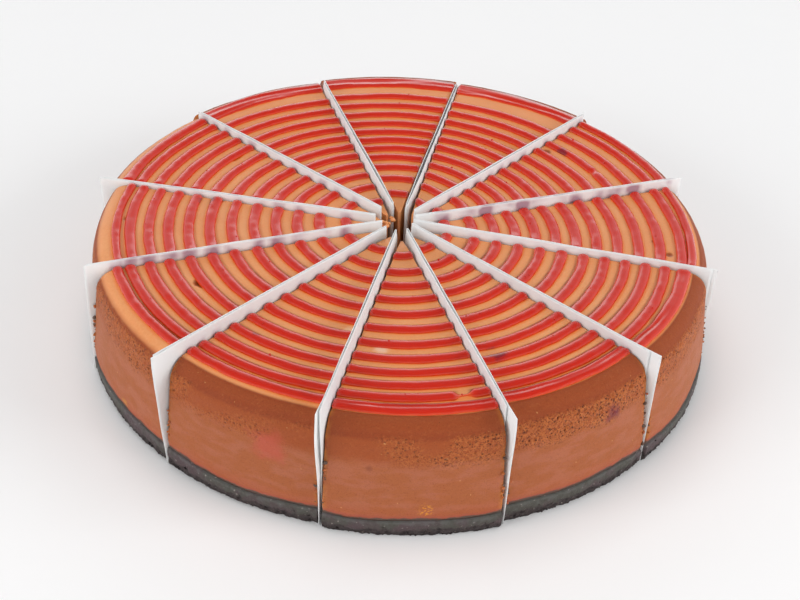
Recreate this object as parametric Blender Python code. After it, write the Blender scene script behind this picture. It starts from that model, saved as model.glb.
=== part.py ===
# Baked cheesecake cut into twelve slices, with red jelly rings on top, a dark
# biscuit crust below and a folded paper divider in every cut.
# Metres, +Z up. The cake stands on z = 0 and its middle is on the Z axis.
import math
import random

import bmesh
import bpy
from mathutils import Vector

MM = 0.001

SLICE_COUNT = 12
SLICE_ANGLE = 2.0 * math.pi / SLICE_COUNT
HALF_ANGLE = SLICE_ANGLE / 2.0
ANGLE_STEPS = 7                     # straight pieces along a slice's outer wall

CAKE_RADIUS = 120.0 * MM            # middle of the cake to the outer wall
SLICE_RADIUS = 113.2 * MM           # a slice's own radius, from its apex
# How far the papers have pushed each slice outwards, in millimetres. The first
# slice is at the back, then clockwise seen from above.
SLICE_SLIPS = (8.6, 8.2, 7.0, 5.8, 6.2, 5.6, 7.8, 6.2, 5.6, 5.0, 6.8, 7.8)
CUT_GAP = 0.95 * MM                 # the slices spread back towards each cut,
                                    # down to this half width at the wall
TIP_RADIUS = 1.8 * MM               # the thin tip is blunt from here
TIP_SINK = 0.6 * MM                 # and slightly lower than the rest

TOP_HEIGHT = 44.6 * MM
# Width of each slice's rounded upper edge, in millimetres. It is tighter at the
# back, where the jelly reaches closer to the wall.
SHOULDERS = (6.0, 7.0, 9.0, 10.0, 10.5, 10.5, 10.5, 10.5, 10.5, 10.0, 9.0, 7.0)
SHOULDER_SLOPE = 0.85               # drop of that edge as a share of its width
WALL_LEAN = 0.25                    # the wall leans in by this share of it below
SHOULDER_STEPS = 4
WALL_ROWS = 2
WALL_FOOT = 0.7 * MM                 # its lowest edge is drawn in by this
WALL_ROUGHNESS = 0.22 * MM
SHADING_ANGLE = math.radians(40.0)

CRUST_HEIGHT = 7.2 * MM
CRUST_WAVE = 1.3 * MM               # the crust's upper edge rises and falls
CRUST_RIM = 8.0 * MM                # that wave dies out this far inside the wall
CRUST_CRUMBLE = 0.7 * MM
CRUST_UNDERCUT = 1.3 * MM
CRUST_LIP = 0.4 * MM
CRUST_LOW_ROW = 0.33                # heights of the rows in its outer face
CRUST_HIGH_ROW = 0.7
LAYER_GAP = 0.35 * MM

RING_COUNT = 11
RING_FIRST = 20.0 * MM              # radius of the innermost ring
RING_PITCH = 7.75 * MM
RING_OPENING = 4.4 * MM             # the first rings stand wider apart
RING_OPENING_FADE = 0.9             # over about this many rings
RING_WIDTH_INNER = 4.6 * MM
RING_WIDTH_OUTER = 4.3 * MM
RING_HEIGHT = 1.3 * MM
RING_SUNK = 0.9 * MM                # part of the ridge below the surface
RING_CROWN = 0.27                   # half the flat crown, as a share of the width
RING_FOOT = 0.56                    # half the buried foot
RING_WAVE = 0.4 * MM
RING_END_GAP = 1.2 * MM             # a ring's full width stops short of the cut
RING_KNOB = 0.9 * MM                # length of its rounded end
RING_KNOB_SIZE = 0.6

# How far each slice's rings lie off the even spacing, in millimetres, at the
# inner, middle and outer rings.
RING_DRIFT = (
    (2.2, -0.3, -2.8), (-2.6, -4.4, -5.8), (-2.6, -5.2, -5.2),
    (-3.2, -5.2, -4.8), (-1.5, -0.3, -0.9), (-2.6, -1.4, -2.0),
    (0.2, 1.6, -0.4), (-1.6, -0.2, -0.6), (0.8, 1.4, 1.2),
    (0.4, 0.6, -0.4), (3.2, 2.5, 1.8), (-1.6, -2.6, -3.2),
)
# How much closer the rings stand in the inner half than in the outer half, in
# millimetres at the quarter points.
RING_SWAY = (-1.2, -0.8, -0.6, 0.0, 0.7, 0.8, 1.4, 1.2, 1.0, 0.9, 1.0, -0.7)
# The ring along each slice's rim, its radius and width in millimetres. On
# some slices it has run into a broad band.
RIM_RINGS = (
    (111.4, 8.4), (110.4, 8.0), (110.8, 4.0), (109.6, 3.6),
    (107.2, 5.4), (105.6, 5.2), (107.4, 5.6), (106.8, 4.6),
    (107.8, 4.0), (106.6, 3.4), (109.4, 4.6), (110.6, 8.0),
)
EXTRA_RING_SLICES = (2, 3)          # one more ring fits inside the rim here

PAPER_THICKNESS = 0.45 * MM
PAPER_FLOOR_GAP = 0.3 * MM
PAPER_TOP = 48.4 * MM
PAPER_BEND = 45.0 * MM              # above the cake the leaves may lean apart
PAPER_CLEARANCE = 0.35 * MM
PAPER_FOLD_RADIUS = 0.58 * MM
PAPER_FOLD_STEPS = 3
PAPER_LEAN = 0.6 * MM
# Each paper's fold distance from the middle, the reach of its two leaves, the
# rise of its outer corner and how far that edge draws in towards its foot, in
# millimetres. The first paper is left of the back slice, then clockwise.
PAPERS = (
    (10.4, 109.0, 110.5, 0.0, 1.0), (9.6, 114.0, 112.5, -3.2, 1.0),
    (7.6, 114.4, 113.4, 0.0, 1.0), (5.6, 114.4, 116.4, 0.2, 1.5),
    (5.0, 119.0, 117.4, -1.6, 1.5), (5.6, 119.2, 115.0, 0.2, 1.5),
    (7.6, 121.6, 114.4, 0.9, 2.5), (9.0, 122.4, 124.8, 5.0, 6.0),
    (8.4, 123.4, 121.8, 1.8, 4.5), (7.6, 119.6, 118.4, -1.0, 2.0),
    (10.0, 120.4, 118.8, -2.6, 2.5), (10.4, 113.4, 112.0, -1.2, 1.0),
)
PAPER_MID = 0.3                     # a leaf has opened to its full width here
PAPER_TIGHTEST = 0.8                # the least open paper, as a share of its cut
PAPER_EDGE_ZONE = 0.85              # only points beyond this share are drawn in

CUSTARD_COLOUR = (0.56, 0.20, 0.08, 1.0)
CRUST_COLOUR = (0.055, 0.058, 0.062, 1.0)
PAPER_COLOUR = (0.76, 0.74, 0.72, 1.0)


def clear_scene():
    for obj in list(bpy.data.objects):
        bpy.data.objects.remove(obj, do_unlink=True)


def make_material(name, colour, roughness):
    material = bpy.data.materials.new(name)
    material.use_nodes = True
    for node in material.node_tree.nodes:
        if node.type == "BSDF_PRINCIPLED":
            node.inputs["Base Color"].default_value = colour
            node.inputs["Roughness"].default_value = roughness
            node.inputs["Metallic"].default_value = 0.0
    material.diffuse_color = colour
    return material


def slice_azimuth(index):
    return math.pi / 2.0 - index * SLICE_ANGLE


def slice_slip(index):
    return SLICE_SLIPS[index % SLICE_COUNT] * MM


def half_angle(index):
    """Half the angle a slice spans about its own apex, a little over its share."""
    spread = slice_slip(index) * math.sin(HALF_ANGLE) - CUT_GAP
    return HALF_ANGLE + math.asin(spread / SLICE_RADIUS)


def cut_gap(index, distance):
    """Half width of a cut beside a slice, at a distance along it from the middle."""
    slip = slice_slip(index)
    run = distance - slip * math.cos(HALF_ANGLE)
    return slip * math.sin(HALF_ANGLE) - run * math.tan(half_angle(index) - HALF_ANGLE)


def smooth_wave(seed, waves=3):
    """A seeded smooth function of an angle, between -1 and 1."""
    rng = random.Random(seed)
    terms = []
    for number in range(waves):
        pace = math.pi * (number + 1.2) / SLICE_ANGLE
        terms.append((pace, rng.uniform(0.0, 2.0 * math.pi), 1.0 / (number + 1.0)))
    total = sum(size for pace, phase, size in terms)

    def wave(angle):
        return sum(size * math.sin(pace * angle + phase) for pace, phase, size in terms) / total

    return wave


def crust_line(index):
    """Height of the crust's upper edge at the wall, by angle in the slice."""
    wave = smooth_wave(20 + index)
    return lambda angle: CRUST_HEIGHT + CRUST_WAVE * wave(angle)


def object_from_mesh(name, bm, material):
    bmesh.ops.recalc_face_normals(bm, faces=bm.faces)
    mesh = bpy.data.meshes.new(name)
    bm.to_mesh(mesh)
    bm.free()
    mesh.materials.append(material)
    obj = bpy.data.objects.new(name, mesh)
    bpy.context.scene.collection.objects.link(obj)
    return obj


def shade_round(obj):
    obj.data.shade_smooth()
    obj.data.set_sharp_from_angle(angle=SHADING_ANGLE)


def spin_profile(profile, half_angle, steps):
    """Turns a closed profile of (radius, height) into a wedge about Z.
    The points come step by step, each step in the profile's own order."""
    bm = bmesh.new()
    start = -half_angle
    points = [
        bm.verts.new((radius * math.cos(start), radius * math.sin(start), height))
        for radius, height in profile
    ]
    face = bm.faces.new(points)
    bmesh.ops.spin(
        bm, geom=[face], cent=(0.0, 0.0, 0.0), axis=(0.0, 0.0, 1.0),
        angle=2.0 * half_angle, steps=steps, use_duplicate=False,
    )
    bm.verts.ensure_lookup_table()
    return bm


def set_radius(vert, radius):
    angle = math.atan2(vert.co.y, vert.co.x)
    vert.co.x = radius * math.cos(angle)
    vert.co.y = radius * math.sin(angle)


def split_rim(bm, inner, outer, row_size, steps):
    """Cuts each four-sided patch between two profile points along the same
    diagonal, so the crust and the filling above it match."""
    for step in range(steps):
        corner_in = bm.verts[step * row_size + inner]
        corner_out = bm.verts[(step + 1) * row_size + outer]
        shared = [face for face in corner_in.link_faces if corner_out in face.verts]
        bmesh.utils.face_split(shared[0], corner_in, corner_out)
        bm.verts.ensure_lookup_table()


def shoulder_size(index):
    """Inset of the leaning wall, then width and drop of the rounded edge above."""
    whole = SHOULDERS[index] * MM
    return whole * WALL_LEAN, whole * (1.0 - WALL_LEAN), whole * SHOULDER_SLOPE


def shoulder_point(index, step):
    """Inset and height of a point on a slice's rounded upper edge."""
    lean, width, drop = shoulder_size(index)
    turn = math.pi / 2.0 * step / SHOULDER_STEPS
    inset = lean + width * (1.0 - math.cos(turn))
    height = TOP_HEIGHT - drop * (1.0 - math.sin(turn))
    return inset, height


def surface_height(index, radius):
    """Height of the smooth top at a distance from the slice's own apex."""
    lean, width, drop = shoulder_size(index)
    inset = SLICE_RADIUS - radius - lean
    if inset >= width:
        return TOP_HEIGHT
    level = 1.0 - max(inset, 0.0) / width
    return TOP_HEIGHT - drop * (1.0 - math.sqrt(1.0 - level * level))


def filling_profile(index):
    """Closed outline of a slice of filling, from the tip's foot outwards."""
    foot = CRUST_HEIGHT + LAYER_GAP
    profile = [
        (TIP_RADIUS, foot),
        (SLICE_RADIUS - CRUST_RIM, foot),
        (SLICE_RADIUS - WALL_FOOT, foot),
    ]
    shoulder_foot = shoulder_point(index, 0)[1]
    for row in range(1, WALL_ROWS + 1):
        part = row / (WALL_ROWS + 1.0)
        inset = shoulder_size(index)[0] * part
        profile.append((SLICE_RADIUS - inset, foot + (shoulder_foot - foot) * part))
    for step in range(SHOULDER_STEPS + 1):
        inset, height = shoulder_point(index, step)
        profile.append((SLICE_RADIUS - inset, height))
    profile.append((TIP_RADIUS, TOP_HEIGHT - TIP_SINK))
    return profile


def build_filling_core(index, material):
    profile = filling_profile(index)
    half = half_angle(index)
    bm = spin_profile(profile, half, ANGLE_STEPS)
    split_rim(bm, 1, 2, len(profile), ANGLE_STEPS)
    line = crust_line(index)
    rng = random.Random(60 + index)
    first_wall = 2
    last_wall = 3 + WALL_ROWS
    for step in range(ANGLE_STEPS + 1):
        angle = -half + 2.0 * half * step / ANGLE_STEPS
        row = step * len(profile)
        for place in range(first_wall, last_wall + 1):
            vert = bm.verts[row + place]
            radius = profile[place][0] + rng.uniform(-WALL_ROUGHNESS, WALL_ROUGHNESS)
            set_radius(vert, radius)
        bm.verts[row + first_wall].co.z = line(angle) + LAYER_GAP
    return object_from_mesh("filling_%02d" % (index + 1), bm, material)


def ring_drift(index, part, side):
    """Radial shift of a ring. part runs 0 to 1 from the inner ring to the
    outer one, side -1 to 1 across the slice towards the next one back."""

    def own(number):
        inner, middle, outer = RING_DRIFT[number % SLICE_COUNT]
        bow = middle - (inner + outer) / 2.0
        return inner + (outer - inner) * part + bow * 4.0 * part * (1.0 - part)

    slope = (own(index - 1) - own(index + 1)) / 4.0
    return MM * (own(index) + slope * side)


def ring_radius(index, number, side):
    """Radius of a ring about the slice's apex."""
    if number == ring_total(index) - 1:
        return RIM_RINGS[index][0] * MM - slice_slip(index)
    part = number / (RING_COUNT - 1.0)
    opening = RING_OPENING * (1.0 - math.exp(-number / RING_OPENING_FADE))
    sway = -RING_SWAY[index] * MM * math.sin(2.0 * math.pi * part)
    even = RING_FIRST + RING_PITCH * number + opening + sway
    return even - slice_slip(index) + ring_drift(index, part, side)


def ring_total(index):
    return RING_COUNT + 1 + (1 if index in EXTRA_RING_SLICES else 0)


def ring_width(index, number):
    if number == ring_total(index) - 1:
        return RIM_RINGS[index][1] * MM
    part = number / RING_COUNT
    return RING_WIDTH_INNER + (RING_WIDTH_OUTER - RING_WIDTH_INNER) * part


def ring_section(width):
    """Low ridge in section: (across, up) from the surface, buried feet first."""
    foot = RING_FOOT * width
    crown = RING_CROWN * width
    return [(-foot, -RING_SUNK), (-crown, RING_HEIGHT), (crown, RING_HEIGHT), (foot, -RING_SUNK)]


def build_ring(index, number, material):
    """One jelly ridge across a slice, with rounded ends short of the cuts."""
    middle = ring_radius(index, number, 0.0)
    width = ring_width(index, number)
    end_angle = half_angle(index) - math.asin(RING_END_GAP / middle)
    steps = 1 + number // 4
    section = ring_section(width)
    profile = [(middle + across, up) for across, up in section]
    bm = spin_profile(profile, end_angle, steps)
    row_size = len(section)
    ends = [
        bm.faces.get(bm.verts[:row_size]),
        bm.faces.get(bm.verts[-row_size:]),
    ]
    for face in ends:
        side = 1.0 if face.calc_center_median().y > 0.0 else -1.0
        grown = bmesh.ops.extrude_face_region(bm, geom=[face])["geom"]
        points = [item for item in grown if isinstance(item, bmesh.types.BMVert)]
        bmesh.ops.delete(bm, geom=[face], context="FACES_ONLY")
        centre = Vector((0.0, 0.0, 0.0))
        for point in points:
            centre += point.co / len(points)
        centre.z = -RING_SUNK
        along = Vector((-math.sin(end_angle), side * math.cos(end_angle), 0.0))
        for point in points:
            point.co = centre + (point.co - centre) * RING_KNOB_SIZE + along * RING_KNOB
    wave = smooth_wave(900 + 20 * index + number, 2)
    for vert in bm.verts:
        radius = vert.co.xy.length
        angle = math.atan2(vert.co.y, vert.co.x)
        side = angle / HALF_ANGLE
        shift = ring_radius(index, number, side) - middle + RING_WAVE * wave(angle)
        set_radius(vert, radius + shift)
        vert.co.z += surface_height(index, middle + shift)
    return object_from_mesh("ring", bm, material)


def fuse(core, pieces):
    """Joins the ridges to their slice in one union and drops the loose ones."""
    group = bpy.data.collections.new("rings")
    bpy.context.scene.collection.children.link(group)
    for piece in pieces:
        bpy.context.scene.collection.objects.unlink(piece)
        group.objects.link(piece)
    union = core.modifiers.new("rings", "BOOLEAN")
    union.operation = "UNION"
    union.solver = "EXACT"
    union.operand_type = "COLLECTION"
    union.collection = group
    depsgraph = bpy.context.evaluated_depsgraph_get()
    joined = bpy.data.meshes.new_from_object(core.evaluated_get(depsgraph))
    core.modifiers.clear()
    core.data = joined
    joined.name = core.name
    for piece in pieces:
        bpy.data.objects.remove(piece, do_unlink=True)
    bpy.data.collections.remove(group)


def place_slice(obj, index):
    azimuth = slice_azimuth(index)
    slip = slice_slip(index)
    obj.location = (slip * math.cos(azimuth), slip * math.sin(azimuth), 0.0)
    obj.rotation_euler = (0.0, 0.0, azimuth)


def build_filling(index, material):
    core = build_filling_core(index, material)
    rings = [build_ring(index, number, material) for number in range(ring_total(index))]
    fuse(core, rings)
    shade_round(core)
    place_slice(core, index)
    return core


def build_crust(index, material):
    """Wedge of pressed biscuit with a crumbling foot and an uneven top edge."""
    profile = [
        (TIP_RADIUS, 0.0),
        (SLICE_RADIUS - CRUST_UNDERCUT, 0.0),
        (SLICE_RADIUS - CRUST_LIP, CRUST_HEIGHT * CRUST_LOW_ROW),
        (SLICE_RADIUS, CRUST_HEIGHT * CRUST_HIGH_ROW),
        (SLICE_RADIUS - CRUST_LIP, CRUST_HEIGHT),
        (SLICE_RADIUS - CRUST_RIM, CRUST_HEIGHT),
        (TIP_RADIUS, CRUST_HEIGHT),
    ]
    half = half_angle(index)
    bm = spin_profile(profile, half, ANGLE_STEPS)
    split_rim(bm, 5, 4, len(profile), ANGLE_STEPS)
    line = crust_line(index)
    rng = random.Random(80 + index)
    crumble = (0.0, CRUST_CRUMBLE, 0.6 * CRUST_CRUMBLE, 0.3 * CRUST_CRUMBLE, 0.2 * CRUST_CRUMBLE)
    for step in range(ANGLE_STEPS + 1):
        angle = -half + 2.0 * half * step / ANGLE_STEPS
        row = step * len(profile)
        for place in range(1, 5):
            vert = bm.verts[row + place]
            set_radius(vert, profile[place][0] + rng.uniform(-1.0, 1.0) * crumble[place])
        bm.verts[row + 3].co.z = CRUST_HIGH_ROW * line(angle)
        bm.verts[row + 4].co.z = line(angle)
    obj = object_from_mesh("crust_%02d" % (index + 1), bm, material)
    place_slice(obj, index)
    return obj


def leaf_offset(index, distance):
    """How far a leaf beside a slice stands from the middle of the cut."""
    return cut_gap(index % SLICE_COUNT, distance) - PAPER_CLEARANCE - PAPER_THICKNESS / 2.0


def paper_path(index):
    """Plan of a folded paper along +X: in along one leaf from its free edge
    to the fold, and back out along the other."""
    fold, reach_a, reach_b, rise, draw = PAPERS[index]
    centre = fold * MM + PAPER_FOLD_RADIUS
    tight = random.Random(130 + index).uniform(PAPER_TIGHTEST, 1.0)
    middle_a = centre + (reach_a * MM - centre) * PAPER_MID
    middle_b = centre + (reach_b * MM - centre) * PAPER_MID
    path = [
        (reach_a * MM, leaf_offset(index - 1, reach_a * MM)),
        (middle_a, leaf_offset(index - 1, middle_a) * tight),
    ]
    for step in range(PAPER_FOLD_STEPS + 1):
        turn = math.pi / 2.0 + math.pi * step / PAPER_FOLD_STEPS
        path.append((centre + PAPER_FOLD_RADIUS * math.cos(turn), PAPER_FOLD_RADIUS * math.sin(turn)))
    path.append((middle_b, -leaf_offset(index, middle_b) * tight))
    path.append((reach_b * MM, -leaf_offset(index, reach_b * MM)))
    return path


def offset_path(path, distance):
    """The path moved sideways, square to its direction at each point."""
    moved = []
    for place, (x, y) in enumerate(path):
        before = path[max(place - 1, 0)]
        after = path[min(place + 1, len(path) - 1)]
        run = Vector((after[0] - before[0], after[1] - before[1])).normalized()
        moved.append((x - run.y * distance, y + run.x * distance))
    return moved


def build_divider(index, material):
    """Stiff white paper folded once, the fold standing near the middle."""
    path = paper_path(index)
    half = PAPER_THICKNESS / 2.0
    outline = offset_path(path, half) + list(reversed(offset_path(path, -half)))
    rise, draw = (size * MM for size in PAPERS[index][3:])
    rng = random.Random(160 + index)
    lean_a = rng.uniform(0.0, PAPER_LEAN)
    lean_b = -rng.uniform(0.0, PAPER_LEAN)
    bm = bmesh.new()
    foot = bm.faces.new([bm.verts.new((x, y, PAPER_FLOOR_GAP)) for x, y in outline])
    face = foot
    for level in (PAPER_BEND, PAPER_TOP):
        grown = bmesh.ops.extrude_face_region(bm, geom=[face])
        if face is not foot:
            bmesh.ops.delete(bm, geom=[face], context="FACES_ONLY")
        face = [item for item in grown["geom"] if isinstance(item, bmesh.types.BMFace)][0]
        for vert in face.verts:
            vert.co.z = level
    for vert in bm.verts:
        if vert.co.x > PAPER_EDGE_ZONE * CAKE_RADIUS:
            vert.co.x -= draw * (1.0 - vert.co.z / PAPER_TOP)
    for vert in face.verts:
        outward = vert.co.x / CAKE_RADIUS
        vert.co.y += outward * (lean_a if vert.co.y > 0.0 else lean_b)
        vert.co.z += outward * rise
    obj = object_from_mesh("divider_%02d" % (index + 1), bm, material)
    obj.rotation_euler = (0.0, 0.0, slice_azimuth(index) + HALF_ANGLE)
    return obj


def centre_on_axis(objects):
    """Moves the whole cake so its outer box is centred on the Z axis."""
    bpy.context.view_layer.update()
    corners = [obj.matrix_world @ vert.co for obj in objects for vert in obj.data.vertices]
    shift_x = -(min(c.x for c in corners) + max(c.x for c in corners)) / 2.0
    shift_y = -(min(c.y for c in corners) + max(c.y for c in corners)) / 2.0
    for obj in objects:
        obj.location.x += shift_x
        obj.location.y += shift_y


def build_cake():
    clear_scene()
    custard = make_material("custard", CUSTARD_COLOUR, 0.45)
    biscuit = make_material("biscuit", CRUST_COLOUR, 0.9)
    paper = make_material("paper", PAPER_COLOUR, 0.7)
    objects = []
    for index in range(SLICE_COUNT):
        objects.append(build_filling(index, custard))
        objects.append(build_crust(index, biscuit))
        objects.append(build_divider(index, paper))
    centre_on_axis(objects)


build_cake()
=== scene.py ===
import math
import random

import bmesh
import bpy
from mathutils import Matrix, Vector, noise


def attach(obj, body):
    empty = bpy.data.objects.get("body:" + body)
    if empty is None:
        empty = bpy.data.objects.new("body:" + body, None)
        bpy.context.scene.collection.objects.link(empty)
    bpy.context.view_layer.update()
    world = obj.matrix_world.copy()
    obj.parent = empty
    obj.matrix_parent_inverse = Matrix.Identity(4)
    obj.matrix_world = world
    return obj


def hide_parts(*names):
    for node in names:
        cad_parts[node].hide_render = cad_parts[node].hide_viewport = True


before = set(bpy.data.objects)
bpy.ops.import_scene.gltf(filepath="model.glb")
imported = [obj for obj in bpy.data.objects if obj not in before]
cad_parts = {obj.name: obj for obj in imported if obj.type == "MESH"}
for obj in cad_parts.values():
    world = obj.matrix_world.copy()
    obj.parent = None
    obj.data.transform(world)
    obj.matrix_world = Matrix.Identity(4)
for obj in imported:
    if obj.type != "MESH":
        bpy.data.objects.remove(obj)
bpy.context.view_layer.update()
print("frame:", len(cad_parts), "nodes")

mm = 0.001
sliceCount = 12
halfAngle = math.pi / sliceCount
cakeMiddle = Vector((-0.326 * mm, -0.501 * mm, 0.0))
sliceRadius = 113.2 * mm
topHeight = 44.6 * mm
crustHeight = 7.2 * mm
crustWave = 1.3 * mm
wallLean = 0.25
shoulderSlope = 0.85
cutGap = 0.95 * mm
tipRadius = 1.8 * mm
# per slice, in mm: the first is at the back, then clockwise
slips = (8.6, 8.2, 7.0, 5.8, 6.2, 5.6, 7.8, 6.2, 5.6, 5.0, 6.8, 7.8)
shoulders = (6.0, 7.0, 9.0, 10.0, 10.5, 10.5, 10.5, 10.5, 10.5, 10.0, 9.0, 7.0)


def azimuthOf(index):
    return math.pi / 2 - index * 2 * halfAngle


def slipOf(index):
    return slips[index % sliceCount] * mm


def halfOf(index):
    # a slice spreads back towards its cuts, so it spans a little over its share
    return halfAngle + math.asin((slipOf(index) * math.sin(halfAngle) - cutGap) / sliceRadius)


def cutHalf(index, distance):
    # half width of the cut beside a slice, at a distance along it from the middle
    run = distance - slipOf(index) * math.cos(halfAngle)
    return slipOf(index) * math.sin(halfAngle) - run * math.tan(halfOf(index % sliceCount) - halfAngle)


def slicePlace(index):
    turn = azimuthOf(index)
    out = Vector((math.cos(turn), math.sin(turn), 0.0)) * slipOf(index)
    return Matrix.Translation(cakeMiddle + out) @ Matrix.Rotation(turn, 4, "Z")


def shoulderSize(index):
    # inset of the leaning wall, then width and drop of the rounded edge above it
    whole = shoulders[index] * mm
    return whole * wallLean, whole * (1 - wallLean), whole * shoulderSlope


def surfaceHeight(index, radius):
    lean, width, drop = shoulderSize(index)
    inset = sliceRadius - radius - lean
    if inset >= width:
        return topHeight
    level = 1 - max(inset, 0) / width
    return topHeight - drop * (1 - math.sqrt(1 - level * level))


def smoothStep(low, high, value):
    part = min(max((value - low) / (high - low), 0), 1)
    return part * part * (3 - 2 * part)


def swell(point, size, seed=0.0):
    # smooth noise from -1 to 1, with bumps about size metres across
    return noise.noise(Vector((point.x / size + seed, point.y / size, point.z / size + seed)))


def wallWave(index, seed, waves=3):
    # the same slow wave along the wall as the solids have
    rng = random.Random(seed + index)
    terms = []
    for number in range(waves):
        pace = math.pi * (number + 1.2) / (2 * halfAngle)
        terms.append((pace, rng.uniform(0, 2 * math.pi), 1 / (number + 1)))
    total = sum(size for pace, phase, size in terms)
    return lambda angle: sum(size * math.sin(pace * angle + phase) for pace, phase, size in terms) / total


def crustLine(index, angle):
    return crustHeight + crustWave * wallWave(index, 20)(angle)


# shader maths

def linear(red, green, blue):
    parts = []
    for value in (red, green, blue):
        value /= 255
        parts.append(value / 12.92 if value <= 0.04045 else ((value + 0.055) / 1.055) ** 2.4)
    return (*parts, 1.0)


class Signal:
    def __init__(self, graph, socket):
        self.graph = graph
        self.socket = socket

    def maths(self, operation, *others):
        made = self.graph.tree.nodes.new("ShaderNodeMath")
        made.operation = operation
        for place, value in enumerate((self, *others)):
            self.graph.feed(made.inputs[place], value)
        return Signal(self.graph, made.outputs[0])

    def __add__(self, other):
        return self.maths("ADD", other)

    def __sub__(self, other):
        return self.maths("SUBTRACT", other)

    def __mul__(self, other):
        return self.maths("MULTIPLY", other)

    def __truediv__(self, other):
        return self.maths("DIVIDE", other)

    def __neg__(self):
        return self.maths("MULTIPLY", -1.0)

    def __radd__(self, other):
        return self.maths("ADD", other)

    def __rmul__(self, other):
        return self.maths("MULTIPLY", other)

    def __rsub__(self, other):
        return (-self).maths("ADD", other)

    def clamp(self):
        return self.maths("MINIMUM", 1.0).maths("MAXIMUM", 0.0)

    def atLeast(self, other):
        return self.maths("MAXIMUM", other)

    def step(self, low, high):
        made = self.graph.node(
            "ShaderNodeMapRange", {"interpolation_type": "SMOOTHSTEP"},
            {"Value": self, "From Min": low, "From Max": high, "To Min": 0.0, "To Max": 1.0})
        return Signal(self.graph, made.outputs["Result"])


class Graph:
    def __init__(self, name, tree=None):
        if tree is None:
            self.material = bpy.data.materials.new(name)
            self.material.use_nodes = True
            tree = self.material.node_tree
        self.tree = tree
        self.tree.nodes.clear()

    def feed(self, socket, value):
        if isinstance(value, Signal):
            self.tree.links.new(value.socket, socket)
        elif isinstance(value, bpy.types.NodeSocket):
            self.tree.links.new(value, socket)
        else:
            socket.default_value = value

    def node(self, kind, settings=None, values=None):
        made = self.tree.nodes.new(kind)
        for name, value in (settings or {}).items():
            setattr(made, name, value)
        for name, value in (values or {}).items():
            self.feed(made.inputs[name], value)
        return made

    def place(self):
        return self.node("ShaderNodeTexCoord").outputs["Object"]

    def parts(self, vector):
        made = self.node("ShaderNodeSeparateXYZ", values={"Vector": vector})
        return [Signal(self, made.outputs[name]) for name in "XYZ"]

    def vector(self, operation, first, second):
        made = self.node("ShaderNodeVectorMath", {"operation": operation}, {0: first, 1: second})
        return made.outputs["Vector"]

    def stretch(self, vector, sizes):
        return self.vector("MULTIPLY", vector, sizes)

    def distance(self, first, second):
        made = self.node("ShaderNodeVectorMath", {"operation": "DISTANCE"}, {0: first, 1: second})
        return Signal(self, made.outputs["Value"])

    def noise(self, vector, scale, detail=3.0, roughness=0.55):
        made = self.node("ShaderNodeTexNoise", values={
            "Vector": vector, "Scale": scale, "Detail": detail, "Roughness": roughness})
        return Signal(self, made.outputs[0])

    def cells(self, vector, scale):
        made = self.node("ShaderNodeTexVoronoi", values={"Vector": vector, "Scale": scale})
        return Signal(self, made.outputs["Distance"])

    def attribute(self, name):
        made = self.node("ShaderNodeAttribute", {"attribute_name": name, "attribute_type": "GEOMETRY"})
        return Signal(self, made.outputs["Fac"])

    def mix(self, amount, first, second):
        made = self.node("ShaderNodeMix", {"data_type": "RGBA"}, {0: amount, 6: first, 7: second})
        return made.outputs[2]

    def bump(self, height, distance, strength=1.0, normal=None):
        values = {"Height": height, "Distance": distance, "Strength": strength}
        if normal is not None:
            values["Normal"] = normal
        return self.node("ShaderNodeBump", values=values).outputs["Normal"]

    def principled(self, values):
        return self.node("ShaderNodeBsdfPrincipled", values=values)

    def finish(self, shader):
        self.node("ShaderNodeOutputMaterial", values={"Surface": shader})
        return self.material


def addAttribute(bm, name):
    return bm.verts.layers.float.new(name)


def makePiece(name, bm, place, material):
    bmesh.ops.transform(bm, matrix=place, verts=bm.verts)
    bmesh.ops.remove_doubles(bm, verts=bm.verts, dist=0.0001 * mm)
    bmesh.ops.recalc_face_normals(bm, faces=bm.faces)
    for face in bm.faces:
        face.smooth = True
    mesh = bpy.data.meshes.new(name)
    bm.to_mesh(mesh)
    bm.free()
    mesh.materials.append(material)
    piece = bpy.data.objects.new(name, mesh)
    bpy.context.scene.collection.objects.link(piece)
    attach(piece, "root")
    return piece


def spinOutline(bm, outline, angle, steps):
    # closed outline of (radius, height) turned about Z; returns its points step by step
    first = len(bm.verts)
    points = [bm.verts.new((radius * math.cos(-angle), radius * math.sin(-angle), height))
              for radius, height in outline]
    face = bm.faces.new(points)
    bmesh.ops.spin(bm, geom=[face], cent=(0, 0, 0), axis=(0, 0, 1),
                   angle=2 * angle, steps=steps, use_duplicate=False)
    bm.verts.ensure_lookup_table()
    made = list(bm.verts)[first:]
    size = len(outline)
    return [made[step * size:(step + 1) * size] for step in range(steps + 1)]


# jelly rings

rings = dict(
    count=11, first=20.0 * mm, pitch=7.75 * mm, opening=4.4 * mm, openingFade=0.9,
    widthInner=4.5 * mm, widthOuter=4.2 * mm, height=1.35 * mm, sunk=0.35 * mm,
    facets=15, step=0.75 * mm, endGap=-0.25 * mm, cap=1.3 * mm, capSteps=5,
    wobble=0.24 * mm, wobbleSize=9 * mm, swellSize=14 * mm, swellWidth=0.11, swellHeight=0.18,
    lumpSize=3.5 * mm, lumpHeight=0.09, bulgeSize=4 * mm, bulgeWidth=0.07, endSwell=0.14,
    twin=0.42, twinFrom=5.0 * mm, twinReach=0.24,
)
# off the even spacing at the inner, middle and outer rings, in mm
ringDrift = (
    (2.2, -0.3, -2.8), (-2.6, -4.4, -5.8), (-2.6, -5.2, -5.2),
    (-3.2, -5.2, -4.8), (-1.5, -0.3, -0.9), (-2.6, -1.4, -2.0),
    (0.2, 1.6, -0.4), (-1.6, -0.2, -0.6), (0.8, 1.4, 1.2),
    (0.4, 0.6, -0.4), (3.2, 2.5, 1.8), (-1.6, -2.6, -3.2),
)
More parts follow.
